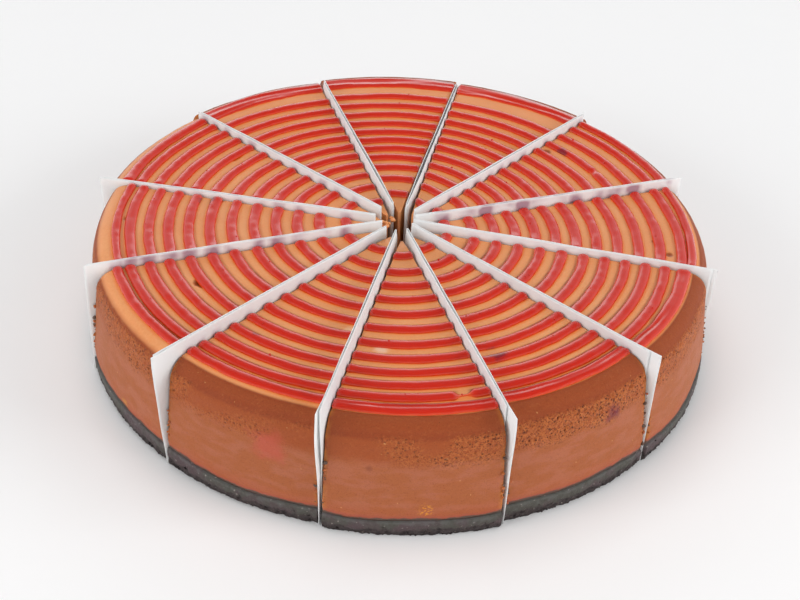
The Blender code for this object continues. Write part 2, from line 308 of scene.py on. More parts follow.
# how much closer the rings stand in the inner half than in the outer half, in mm
ringSway = (-1.2, -0.8, -0.6, 0.0, 0.7, 0.8, 1.4, 1.2, 1.0, 0.9, 1.0, -0.7)
# the ring along each rim: radius and width in mm
rimRings = (
    (111.4, 8.4), (110.4, 8.0), (110.8, 4.0), (109.6, 3.6),
    (107.2, 5.4), (105.6, 5.2), (107.4, 5.6), (106.8, 4.6),
    (107.8, 4.0), (106.6, 3.4), (109.4, 4.6), (110.6, 8.0),
)
extraRingSlices = (2, 3)
# where a ring was squeezed thin: slice, ring, place along it and reach in mm, what is left
ringBreaks = ((6, 10, 16.5, 4.2, 0.06), (2, 9, -6.0, 2.0, 0.7))


def ringTotal(index):
    return rings["count"] + 1 + (1 if index in extraRingSlices else 0)


def driftOf(index, part, side):
    def own(number):
        inner, middle, outer = ringDrift[number % sliceCount]
        bow = middle - (inner + outer) / 2
        return inner + (outer - inner) * part + bow * 4 * part * (1 - part)

    slope = (own(index - 1) - own(index + 1)) / 4
    return mm * (own(index) + slope * side)


def ringRadius(index, number, side):
    if number == ringTotal(index) - 1:
        return rimRings[index][0] * mm - slipOf(index)
    part = number / (rings["count"] - 1)
    opening = rings["opening"] * (1 - math.exp(-number / rings["openingFade"]))
    sway = -ringSway[index] * mm * math.sin(2 * math.pi * part)
    even = rings["first"] + rings["pitch"] * number + opening + sway
    return even - slipOf(index) + driftOf(index, part, side)


def ringWidth(index, number):
    if number == ringTotal(index) - 1:
        return rimRings[index][1] * mm
    part = number / rings["count"]
    return rings["widthInner"] + (rings["widthOuter"] - rings["widthInner"]) * part


def ringStations(length):
    # places along a ring from -length/2 to length/2 and its relative size there
    cap, capSteps = rings["cap"], rings["capSteps"]
    cap = min(cap, length * 0.4)
    ends = []
    for step in range(capSteps):
        turn = math.pi / 2 * step / capSteps
        ends.append((cap * (1 - math.cos(turn)), max(math.sin(turn), 0.06) ** 0.8))
    steps = max(4, round((length - 2 * cap) / rings["step"]))
    middle = [(cap + (length - 2 * cap) * step / steps, 1.0) for step in range(steps + 1)]
    whole = ends + middle + [(length - place, size) for place, size in reversed(ends)]
    return [(place - length / 2, size) for place, size in whole]


def breakSize(index, number, place):
    size = 1.0
    for ofSlice, ring, where, reach, left in ringBreaks:
        if (ofSlice, ring) == (index, number):
            size *= left + (1 - left) * smoothStep(0.25, 1.0, abs(place - where * mm) / (reach * mm))
    return size


def addRing(bm, rise, behind, index, number):
    middle = ringRadius(index, number, 0)
    width = ringWidth(index, number)
    isRim = number == ringTotal(index) - 1
    broad = smoothStep(5.5 * mm, 8.0 * mm, width)
    endAngle = halfOf(index) - math.asin(min(rings["endGap"] / middle, 0.9))
    stations = ringStations(2 * endAngle * middle)
    facets = rings["facets"] + (8 if broad > 0 else 0)
    turns = [math.pi * place / (facets - 1) for place in range(facets)]
    outline = [(middle + width * (turn / math.pi - 0.5), mm * math.sin(turn)) for turn in turns]
    rows = spinOutline(bm, outline, endAngle, len(stations) - 1)
    seed = 31.0 * index + 7.3 * number
    for row, (along, size) in zip(rows, stations):
        angle = along / middle
        size *= breakSize(index, number, along)
        spot = Vector((along, number * 0.05, index * 0.3))
        thick = 1 + rings["swellHeight"] * swell(spot, rings["swellSize"], seed)
        thick += rings["lumpHeight"] * swell(spot, rings["lumpSize"], seed)
        wide = 1 + rings["swellWidth"] * swell(spot, rings["swellSize"], seed + 5)
        wide += rings["bulgeWidth"] * swell(spot, rings["bulgeSize"], seed)
        fromEnd = endAngle * middle - abs(along)
        thick *= 1 + rings["endSwell"] * (1 - smoothStep(1.0 * mm, 4.5 * mm, fromEnd))
        centre = ringRadius(index, number, angle / halfAngle)
        centre += rings["wobble"] * swell(spot, rings["wobbleSize"], seed + 9)
        high = rings["height"] * thick * size * (1 - 0.35 * broad)
        reach = width / 2 * wide * (0.35 + 0.65 * size)
        for turn, vert in zip(turns, row):
            across = -math.cos(turn)
            across = math.copysign(abs(across) ** 0.94, across)
            dome = max(math.sin(turn), 0) ** (0.85 - 0.3 * broad)
            if broad > 0:
                ripple = swell(Vector((across * 2.4, along / (24 * mm), seed)), 1.0)
                dome *= 1 + broad * 0.35 * ripple * dome
            if isRim and width > rings["twinFrom"]:
                # rims were piped twice, so a shallow groove runs along them
                drift = swell(Vector((along / (26 * mm), seed, 0.5)), 1.0)
                groove = (across + 0.12 + 0.35 * drift) / rings["twinReach"]
                dome *= 1 - rings["twin"] * (0.6 + 0.8 * drift) * math.exp(-groove * groove)
            radius = centre + across * reach
            vert.co.x = radius * math.cos(angle)
            vert.co.y = radius * math.sin(angle)
            vert.co.z = surfaceHeight(index, radius) - rings["sunk"] + (high + rings["sunk"]) * dome
            vert[rise] = dome * min(size, 1)
            # painted shade: how far a point lies on the ring's far side, where the ring is darkened
            vert[behind] = across * math.sin(azimuthOf(index) + angle)


jellyBeads = dict(perSlice=7, sizes=(0.16 * mm, 0.42 * mm))


def addBeads(bm, rise, index):
    rng = random.Random(700 + index)
    for count in range(jellyBeads["perSlice"]):
        number = rng.randrange(1, rings["count"])
        side = rng.uniform(-0.8, 0.8)
        radius = ringRadius(index, number, side) + rng.uniform(-0.3, 0.3) * ringWidth(index, number)
        size = rng.uniform(*jellyBeads["sizes"])
        angle = side * halfAngle
        spot = Vector((radius * math.cos(angle), radius * math.sin(angle),
                       surfaceHeight(index, radius) + 0.93 * rings["height"]))
        made = bmesh.ops.create_icosphere(bm, subdivisions=2, radius=size, matrix=Matrix.Translation(spot))
        for vert in made["verts"]:
            vert[rise] = 1.0


# custard

custard = dict(
    foot=7.55 * mm, drawnIn=0.7 * mm, wallStep=0.55 * mm, shoulderRows=18, topStep=0.55 * mm,
    angleSteps=92, edgeRows=(0.0, 0.22 * mm, 0.6 * mm), edgeInset=(0.5 * mm, 0.15 * mm, 0.03 * mm),
    slow=0.28 * mm, slowSize=22 * mm, medium=0.12 * mm, mediumSize=5 * mm, fine=0.05 * mm, fineSize=1.6 * mm,
    topSlow=0.16 * mm, topFine=0.035 * mm, glowReach=1.0 * mm, tipSink=0.6 * mm, waveTop=14 * mm,
    poresFrom=(28.5 * mm, 32.5 * mm), poresTo=(40 * mm, 41.5 * mm), deepest=0.8 * mm,
    rindReach=(0.3 * mm, 4.0 * mm), farSideShadeReach=(0.2 * mm, 0.95 * mm), edgeReach=1.6 * mm,
)
# torn patches in the top: place, size and depth in mm, and the colour inside
tears = (
    (-73.6, -37.7, 3.4, 0.9, "tear"), (-103.2, 3.1, 1.8, 0.7, "tear"), (80.2, 5.5, 2.6, 0.6, "tear"),
    (95.8, -9.9, 2.0, 0.5, "tear"), (99.2, -18.5, 1.8, 0.5, "tear"), (-64.8, 48.3, 3.4, 0.5, "yellow"),
    (-70.5, 16.5, 3.0, 0.5, "tear"), (61.5, 54.5, 2.4, 0.4, "tear"),
)
# how far the pale top reaches past the rim ring, in mm
tanReach = (0.3, 0.3, 0.6, 1.2, 0.6, 0.2, 0.2, 1.6, 3.6, 4.4, 2.6, 0.5)
# how porous the wall is at the two ends of each slice, the end towards the next slice first
pores = (
    (0.5, 0.5), (0.45, 0.5), (0.5, 0.45), (0.8, 0.5), (1.0, 0.9), (0.95, 1.0),
    (0.3, 0.95), (0.75, 0.3), (0.9, 0.75), (0.8, 0.9), (0.5, 0.6), (0.5, 0.5),
)


def custardOutline(index):
    # (radius, height, outward, upward) from the tip's foot, out and round to the tip's top
    foot = custard["foot"]
    lean, width, drop = shoulderSize(index)
    shoulderFoot = topHeight - drop
    footRadii = (tipRadius, 0.5 * sliceRadius, sliceRadius - 8 * mm, sliceRadius - 2 * mm)
    outline = [(radius, foot, 0, -1) for radius in footRadii]
    rows = round((shoulderFoot - foot) / custard["wallStep"])
    for row in range(rows):
        part = row / rows
        inset = lean * part + custard["drawnIn"] * (1 - smoothStep(0, 0.16, part))
        outline.append((sliceRadius - inset, foot + (shoulderFoot - foot) * part, 1, 0))
    for step in range(custard["shoulderRows"]):
        turn = math.pi / 2 * step / custard["shoulderRows"]
        outward, upward = math.cos(turn), math.sin(turn)
        radius = sliceRadius - lean - width * (1 - outward)
        outline.append((radius, topHeight - drop * (1 - upward), outward, upward))
    run = sliceRadius - lean - width - tipRadius
    rows = round(run / custard["topStep"])
    for row in range(rows + 1):
        part = row / rows
        sink = custard["tipSink"] * smoothStep(0.93, 1.0, part)
        outline.append((sliceRadius - lean - width - run * part, topHeight - sink, 0, 1))
    return outline


def tearDepth(world):
    deepest = 0.0
    for x, y, size, depth, shade in tears:
        gap = math.hypot(world.x - x * mm, world.y - y * mm) / (size * mm)
        if gap < 1.6:
            gap += 0.45 * swell(world, 2.2 * mm, 3.0)
            deepest = max(deepest, depth * mm * (1 - smoothStep(0.35, 1.0, gap)))
    return deepest


def porosity(index, angle, world):
    # 0 to 1 between the smooth foot and the shoulder
    start, end = pores[index]
    amount = start + (end - start) * (angle / halfAngle + 1) / 2
    band = smoothStep(*custard["poresFrom"], world.z + 3 * mm * swell(world, 11 * mm, 2.0))
    band *= 1 - smoothStep(*custard["poresTo"], world.z)
    return amount * band * smoothStep(-0.3, 0.3, swell(world, 13 * mm, 8.0) + amount - 0.5)


def poreDepth(index, world, band):
    # pits in the porous band
    depth = 0.0
    for size, share in ((1.5 * mm, 0.34), (3.1 * mm, 0.2)):
        gaps, spots = noise.voronoi(world / size)
        pick = noise.cell(spots[0] * 7.7) * 0.5 + 0.5
        reach = share * (0.5 + 0.9 * pick)
        rare = 1.0 if pick < 0.28 + 0.5 * band else 0.0
        here = 0.5 * size * (1 - smoothStep(0.2 * reach, reach, gaps[0])) * rare
        depth = max(depth, here * (0.1 + 0.9 * band) * (0.5 + 0.5 * band))
    return min(depth, custard["deepest"])


def buildCustard(index, material):
    outline = custardOutline(index)
    steps = custard["angleSteps"]
    bm = bmesh.new()
    glow = addAttribute(bm, "glow")
    edge = addAttribute(bm, "edge")
    skin = addAttribute(bm, "skin")
    farSideShade = addAttribute(bm, "farSideShade")
    porous = addAttribute(bm, "porous")
    rind = addAttribute(bm, "rind")
    half = halfOf(index)
    rows = spinOutline(bm, [(radius, height) for radius, height, outward, upward in outline], half, steps)
    place = slicePlace(index)
    gap = 2 * half / steps
    total = ringTotal(index)
    for step, row in enumerate(rows):
        fromEnd = min(step, steps - step)
        side = -1 if step < steps / 2 else 1
        plain = -half + gap * step
        centres = [(ringRadius(index, number, plain / halfAngle), ringWidth(index, number) / 2)
                   for number in range(total)]
        for (radius, height, outward, upward), vert in zip(outline, row):
            angle = plain
            inset = 0.0
            if fromEnd < 3:
                away = min(custard["edgeRows"][fromEnd], 0.3 * fromEnd * radius * gap)
                angle = side * (half - math.asin(min(away / radius, 0.9)))
                inset = custard["edgeInset"][fromEnd]
            if fromEnd == 0 and upward < 0:
                inset = 0.0
            flat = Vector((radius * math.cos(angle), radius * math.sin(angle), height))
            world = place @ flat
            if fromEnd < 3:
                inset *= 1 + 0.8 * swell(world, 2.5 * mm, 4.0)
            isFoot = upward < 0 or height <= custard["foot"]
            push = 0.0
            slowSwell = swell(world, custard["slowSize"])
            mediumSwell = swell(world, custard["mediumSize"])
            if upward <= 0 and outward > 0:
                push = custard["slow"] * slowSwell + custard["medium"] * mediumSwell
                push += custard["fine"] * swell(world, custard["fineSize"])
            elif outward > 0 or upward > 0:
                share = max(outward, 0)
                push = (custard["slow"] * share + custard["topSlow"] * (1 - share)) * slowSwell
                push += (custard["medium"] * share + custard["topFine"] * (1 - share)) * mediumSwell
            if outward > 0.2:
                vert[porous] = porosity(index, angle, world)
                push -= poreDepth(index, world, vert[porous])
            if upward > 0.8:
                push -= tearDepth(world)
            push -= inset
            if isFoot:
                push = min(push, 0.0) if outward > 0 else 0.0
            radius += outward * push
            height += max(upward, 0) * push
            if outward > 0 and height < custard["waveTop"]:
                fade = 1 - smoothStep(custard["foot"], custard["waveTop"], height)
                height += (crustLine(index, angle) - crustHeight) * fade
            vert.co = (radius * math.cos(angle), radius * math.sin(angle), height)
            if outward > 0:
                vert[rind] = 1 - smoothStep(*custard["rindReach"], height - crustLine(index, angle))
            if upward > 0.5:
                near, centre, number = min((abs(radius - centre) - reach, centre, number)
                                           for number, (centre, reach) in enumerate(centres))
                whole = breakSize(index, number, angle * centre)
                beyond = math.copysign(1, radius - centre)
                facing = beyond * math.sin(azimuthOf(index) + angle) + (0.2 if beyond < 0 else -0.1)
                # painted light: the custard beside each ring glows orange, most on its front side, as light
                # through the jelly
                lit = min(max(0.7 - 0.6 * facing, 0), 1)
                vert[glow] = lit * (1 - smoothStep(0.0, custard["glowReach"], near))
                # painted shade: a dark line on the custard just past each ring's far side
                shaded = min(max(facing * whole, 0), 1)
                vert[farSideShade] = shaded * (1 - smoothStep(*custard["farSideShadeReach"], near))
            vert[edge] = 1 - smoothStep(0.0, custard["edgeReach"], radius * abs(half - abs(angle)))
            rim = centres[-1][0] + centres[-1][1] + (tanReach[index] - 0.8) * mm
            vert[skin] = smoothStep(rim, rim + (1.6 + 0.4 * tanReach[index]) * mm, radius)
    piece = makePiece("custard%02d" % (index + 1), bm, place, material)
    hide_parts("filling_%02d" % (index + 1))
    return piece


def buildJelly(index, material):
    bm = bmesh.new()
    rise = addAttribute(bm, "rise")
    behind = addAttribute(bm, "behind")
    for number in range(ringTotal(index)):
        addRing(bm, rise, behind, index, number)
    addBeads(bm, rise, index)
    return makePiece("jelly%02d" % (index + 1), bm, slicePlace(index), material)


# biscuit crust

biscuit = dict(
    angleSteps=150, rowStep=0.42 * mm, undercut=1.3 * mm, lip=0.15 * mm,
    crumble=0.5 * mm, slow=0.25 * mm, footCrumble=0.2 * mm, rim=8 * mm,
)


def buildBiscuit(index, material):
    rows = round(crustHeight / biscuit["rowStep"])
    outline = [(tipRadius, 0.0, 0.0), (sliceRadius - 6 * mm, 0.0, 0.0)]
    for row in range(rows + 1):
        part = row / rows
        shape = biscuit["undercut"] * (1 - part) ** 3 + biscuit["lip"] * smoothStep(0.8, 1.0, part)
        outline.append((sliceRadius - shape, crustHeight * part, 1.0))
    topRadii = (sliceRadius - 3 * mm, sliceRadius - biscuit["rim"], tipRadius)
    outline += [(radius, crustHeight, 0.0) for radius in topRadii]
    steps = biscuit["angleSteps"]
    bm = bmesh.new()
    level = addAttribute(bm, "level")
    place = slicePlace(index)
    half = halfOf(index)
    turned = spinOutline(bm, [(radius, height) for radius, height, wall in outline], half, steps)
    for step, row in enumerate(turned):
        angle = -half + 2 * half * step / steps
        lift = crustLine(index, angle) / crustHeight
        for (radius, height, wall), vert in zip(outline, row):
            part = height / crustHeight
            near = smoothStep(sliceRadius - biscuit["rim"], sliceRadius, radius)
            height *= 1 + (lift - 1) * near
            world = place @ Vector((radius * math.cos(angle), radius * math.sin(angle), height))
            if wall > 0:
                loose = 1 - 0.75 * smoothStep(0.35, 0.75, part)
                lumps = swell(world, 2.6 * mm, 1.0) + 0.7 * swell(world, 1.1 * mm, 2.0)
                push = biscuit["crumble"] * loose * lumps
                push += biscuit["slow"] * swell(world, 12 * mm, 5.0)
                radius += push
                if 0 < part < 0.25:
                    height = max(height + biscuit["footCrumble"] * swell(world, 1.3 * mm, 6.0), 0.05 * mm)
            vert.co = (radius * math.cos(angle), radius * math.sin(angle), height)
            vert[level] = part
    piece = makePiece("biscuit%02d" % (index + 1), bm, place, material)
    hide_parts("crust_%02d" % (index + 1))
    return piece


# papers

# fold distance, reach of each leaf, rise of the outer corner, draw of its foot, in mm
papers = (
    (10.4, 109.0, 110.5, 0.0, 1.0), (9.6, 114.0, 112.5, -3.2, 1.0),
    (7.6, 114.4, 113.4, 0.0, 1.0), (5.6, 114.4, 116.4, 0.2, 1.5),
    (5.0, 119.0, 117.4, -1.6, 1.5), (5.6, 119.2, 115.0, 0.2, 1.5),
    (7.6, 121.6, 114.4, 0.9, 2.5), (9.0, 122.4, 124.8, 5.0, 6.0),
    (8.4, 123.4, 121.8, 1.8, 4.5), (7.6, 119.6, 118.4, -1.0, 0.6),
    (10.0, 120.4, 118.8, -2.6, 2.5), (10.4, 113.4, 112.0, -1.2, 1.0),
)
# strength of the pink marks on each paper: jelly smears, with painted shadow of the ring ends behind the
# paper
paperSmearsAndShadows = (0.15, 0.15, 0.45, 1.5, 0.25, 0.2, 0.2, 0.25, 0.35, 1.2, 0.5, 0.55)
paper = dict(
    length=120 * mm, loosePart=0.85, foot=0.35 * mm, top=48.4 * mm, bend=45.0 * mm, finePart=40.5 * mm,
    thickness=0.3 * mm, solidThickness=0.45 * mm, clearance=0.35 * mm, tightest=0.8,
    foldRadius=0.58 * mm, foldSteps=10, step=1.1 * mm, lowRows=9, highRows=14, middle=0.3,
    lean=0.6 * mm, close=0.5, ripple=0.14 * mm, edgeRipple=0.5 * mm, topRipple=0.25 * mm,
)


def leafHalf(index, distance):
    # how far a leaf beside a slice stands from the middle of its cut
    return cutHalf(index, distance) - paper["clearance"] - paper["solidThickness"] / 2


def paperPath(index):
    fold, reachA, reachB = [size * mm for size in papers[index][:3]]
    bow = paper["foldRadius"]
    centre = fold + bow
    tight = random.Random(130 + index).uniform(paper["tightest"], 1.0)
    path = []
    for reach, side, beside in ((reachA, 1, index - 1), (reachB, -1, index)):
        steps = round((reach - centre) / paper["step"])
        bend = centre + (reach - centre) * paper["middle"]
        leaf = []
        for step in range(steps, 0, -1):
            x = centre + (reach - centre) * step / steps
            half = leafHalf(beside, x) * (tight + (1 - tight) * smoothStep(bend, reach, x))
            leaf.append((x, side * (bow + (half - bow) * smoothStep(centre, bend, x))))
        path.append(leaf)
    crease = []
    for step in range(paper["foldSteps"] + 1):
        turn = math.pi / 2 + math.pi * step / paper["foldSteps"]
        crease.append((centre + bow * math.cos(turn), bow * math.sin(turn)))
    return path[0] + crease + list(reversed(path[1]))


def sideOf(path, place):
    # unit vector across the path, to its left
    before, after = path[max(place - 1, 0)], path[min(place + 1, len(path) - 1)]
    run = Vector((after[0] - before[0], after[1] - before[1], 0.0)).normalized()
    return Vector((-run.y, run.x, 0.0))


def buildPaper(index, material):
    path = paperPath(index)
    rise, draw = (size * mm for size in papers[index][3:])
    rng = random.Random(160 + index)
    leanA, leanB = rng.uniform(0, paper["lean"]), -rng.uniform(0, paper["lean"])
    bm = bmesh.new()
    chain = [bm.verts.new((x, y, paper["foot"])) for x, y in path]
    edges = [bm.edges.new(pair) for pair in zip(chain, chain[1:])]
    bmesh.ops.extrude_edge_only(bm, edges=edges)
    for number, vert in enumerate(chain):
        across = sideOf(path, number) * paper["thickness"] / 2
        for edge in vert.link_edges:
            other = edge.other_vert(vert)
            if other not in chain:
                other.co = vert.co - across
        vert.co = vert.co + across
    faces = list(bm.faces)
    foot, finePart, top = paper["foot"], paper["finePart"], paper["top"]
    lowRows, highRows = paper["lowRows"], paper["highRows"]
    levels = [foot + (finePart - foot) * row / lowRows for row in range(1, lowRows + 1)]
    levels += [finePart + (top - finePart) * row / highRows for row in range(1, highRows + 1)]
    for number, level in enumerate(levels):
        grown = bmesh.ops.extrude_face_region(bm, geom=faces)["geom"]
        if number:
            bmesh.ops.delete(bm, geom=faces, context="FACES_ONLY")
        faces = [item for item in grown if isinstance(item, bmesh.types.BMFace)]
        for item in grown:
            if isinstance(item, bmesh.types.BMVert):
                item.co.z = level
    turn = azimuthOf(index) + halfAngle
    place = Matrix.Translation(cakeMiddle) @ Matrix.Rotation(turn, 4, "Z")
    for vert in bm.verts:
        x, y, z = vert.co
        world = place @ vert.co
        outward = x / paper["length"]
        if x > paper["loosePart"] * paper["length"]:
            vert.co.x -= draw * (1 - z / top)
        above = smoothStep(paper["bend"], top, z)
        vert.co.y *= 1 - paper["close"] * above
        vert.co.y += above * outward * (leanA if y > 0 else leanB) * 0.5
        free = smoothStep(112 * mm, 121 * mm, x)
        ripple = paper["ripple"] * (0.3 + 0.7 * above) + paper["edgeRipple"] * free
        vert.co.y += ripple * swell(world, 16 * mm, 2.0 + index + (4 if y > 0 else 0))
        vert.co.z += above * outward * rise + above * paper["topRipple"] * swell(world, 18 * mm, 9.0)
    # pink marks where the ring ends touch: partly real jelly smears, partly painted shadow of the rings
    # behind the paper
    smearAndShadow = addAttribute(bm, "smearAndShadow")
    strength = paperSmearsAndShadows[index]
    smearAndShadowReach = (2.2 + 1.6 * strength) * mm
    for vert in bm.verts:
        x, y, z = vert.co
        side = 1 if y > 0 else -1
        neighbour = (index - 1) % sliceCount if side > 0 else index % sliceCount
        near = 99.0
        for number in range(ringTotal(neighbour)):
            radius = ringRadius(neighbour, number, -side) + slipOf(neighbour) * math.cos(halfAngle)
            near = min(near, abs(x - radius) / (ringWidth(neighbour, number) / 2))
        world = place @ vert.co
        high = smoothStep(topHeight - 2 * mm, topHeight + 0.5 * mm, z)
        high *= 1 - smoothStep(topHeight + 0.5 * smearAndShadowReach, topHeight + smearAndShadowReach, z)
        patchy = smoothStep(-0.35, 0.4, swell(world, 9 * mm, 3.0 + side))
        touching = 1 - smoothStep(0.5, 1.1 + 0.7 * strength, near + 0.35 * swell(world, 2.5 * mm))
        vert[smearAndShadow] = strength * high * patchy * touching
    piece = makePiece("paper%02d" % (index + 1), bm, place, material)
    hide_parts("divider_%02d" % (index + 1))
    return piece


# crumbs

crumbs = dict(
    edgeCount=19, edgeSizes=(0.16 * mm, 0.85 * mm), edgeHeights=(9 * mm, 36 * mm, 17 * mm),
    crustCount=34, crustSizes=(0.25 * mm, 0.8 * mm), middleCount=22, middleSizes=(0.4 * mm, 1.3 * mm),
)


def addCrumb(bm, rng, spot, size, values=None):
    made = bmesh.ops.create_icosphere(bm, subdivisions=2, radius=size, matrix=Matrix.Identity(4))
    seed = rng.uniform(0, 50)
    stretch = Vector((rng.uniform(0.7, 1.2), rng.uniform(0.7, 1.2), rng.uniform(0.55, 0.95)))
    turn = Matrix.Rotation(rng.uniform(0, math.pi), 3, "Z")
    for vert in made["verts"]:
        vert.co *= 1 + 0.45 * noise.noise(vert.co / size * 1.1 + Vector((seed, 0, seed)))
        vert.co = turn @ (vert.co * stretch) + spot
        for layer, value in (values or {}).items():
            vert[layer] = value


def buildCrumbs(index, custardMaterial, biscuitMaterial):
    rng = random.Random(500 + index)
    bm = bmesh.new()
    skin, edge, rind = (addAttribute(bm, name) for name in ("skin", "edge", "rind"))
    smallest, largest = crumbs["edgeSizes"]
    for side in (-1, 1):
        for count in range(crumbs["edgeCount"]):
            height = rng.triangular(*crumbs["edgeHeights"])
            size = smallest + (largest - smallest) * rng.random() ** 2.6
            angle = side * (halfOf(index) - rng.uniform(0.1 * mm, 0.9 * mm) / sliceRadius)
            lean, width, drop = shoulderSize(index)
            radius = sliceRadius - rng.uniform(0.0, 0.3) * mm - lean * (height - 7 * mm) / (topHeight - drop)
            spot = Vector((radius * math.cos(angle), radius * math.sin(angle), height))
            addCrumb(bm, rng, spot, size, {skin: 1.0, edge: rng.random(), rind: rng.choice((0.0, 0.3, 1.0))})
    makePiece("custardCrumbs%02d" % (index + 1), bm, slicePlace(index), custardMaterial)
    bm = bmesh.new()
    level = addAttribute(bm, "level")
    for count in range(crumbs["crustCount"]):
        size = rng.uniform(*crumbs["crustSizes"]) * rng.uniform(0.5, 1)
        angle = rng.uniform(-0.97, 0.97) * halfOf(index)
        height = max(abs(rng.gauss(0, 1.6 * mm)), size * 0.9)
        part = height / crustHeight
        radius = sliceRadius - biscuit["undercut"] * max(1 - part, 0) ** 3 - 0.3 * size
        addCrumb(bm, rng, Vector((radius * math.cos(angle), radius * math.sin(angle), height)), size)
    makePiece("biscuitCrumbs%02d" % (index + 1), bm, slicePlace(index), biscuitMaterial)


def buildMiddleCrumbs(material):
    rng = random.Random(77)
    bm = bmesh.new()
    for count in range(crumbs["middleCount"]):
        spot = Vector((rng.gauss(-6.5, 2.2) * mm, rng.gauss(0.5, 2.6) * mm, 0)) + cakeMiddle
        spot.z = topHeight + rng.uniform(-0.6, 0.9) * mm
        addCrumb(bm, rng, spot, rng.uniform(*crumbs["middleSizes"]) * 0.8)
    makePiece("middleCrumbs", bm, Matrix.Identity(4), material)


# materials

custardLook = dict(
    top=linear(228, 152, 96), topPale=linear(234, 168, 116), topDeep=linear(214, 130, 76),
    # the glow colour is painted light through the jelly, and the dark red after it is painted shade beside
    # the rings
    glow=linear(232, 120, 40), farSideShade=linear(128, 26, 22), tan=linear(196, 118, 70),
    shoulder=linear(152, 72, 36), darkBand=linear(146, 66, 32), wall=linear(168, 94, 54),
    wallPink=linear(174, 101, 70), wallWarm=linear(176, 90, 54), spongy=linear(160, 78, 36),
    sponge=linear(196, 114, 58), rind=linear(86, 78, 72), blush=linear(172, 84, 70),
    # pit is painted shade inside the pits, and also the colour of the skin's own dark spots and grain
    pit=linear(84, 36, 18), tear=linear(150, 66, 26),
    yellow=linear(222, 146, 44), speck=linear(222, 170, 110),
)
# how strongly each colour covers what is under it
custardAmounts = dict(
    mottled=0.22, pale=0.45, deep=0.5, warm=0.6, tan=0.85, crease=0.8, sponge=0.75, pit=0.9, spots=0.7,
    flecks=0.6, grain=0.25, bloom=0.22, tear=0.85, gold=0.8, edge=0.3, blush=0.55, rind=0.9,
)
# heights in mm between which the wall turns from one colour to the next
wallBands = dict(warm=(9.0, 15.0), spongy=(28.0, 34.0), darkBand=(39.0, 40.5), shoulder=(40.6, 42.6))
# where the top deepens towards the back, in mm
backReach = (-20.0, 80.0)
tearLevel = 44.2
# marks in the baked wall and on the top: place in mm, size in mm, colour, strength
marks = (
    (-48.9, -109.0, 29.0, 9.0, (196, 84, 72), 0.55), (69.0, -96.5, 32.5, 4.8, (112, 42, 56), 0.95),
    (-101.6, -64.6, 10.5, 3.0, (214, 160, 60), 0.7), (-15.4, -118.4, 28.4, 1.6, (120, 60, 40), 0.45),
    (-47.0, -109.0, 38.0, 1.4, (80, 26, 14), 0.8), (102.0, -50.0, 33.0, 3.0, (120, 60, 60), 0.6),
    (-20.5, -66.1, 44.6, 3.4, (236, 190, 150), 0.7), (-10.5, -75.5, 44.6, 3.6, (240, 206, 180), 0.7),
)
# gold crumbs low on the front wall: place and size in mm
goldSpecks = (3.5, -120.0, 11.8, 3.6)


def spotMask(graph, place, x, y, z, size, soft, ragged):
    # 1 inside a ragged round spot at a named place in mm
    gap = graph.distance(place, (x * mm, y * mm, z * mm)) / (size * mm)
    return 1 - (gap + (ragged - 0.5) * 1.1).step(1 - soft, 1.0)


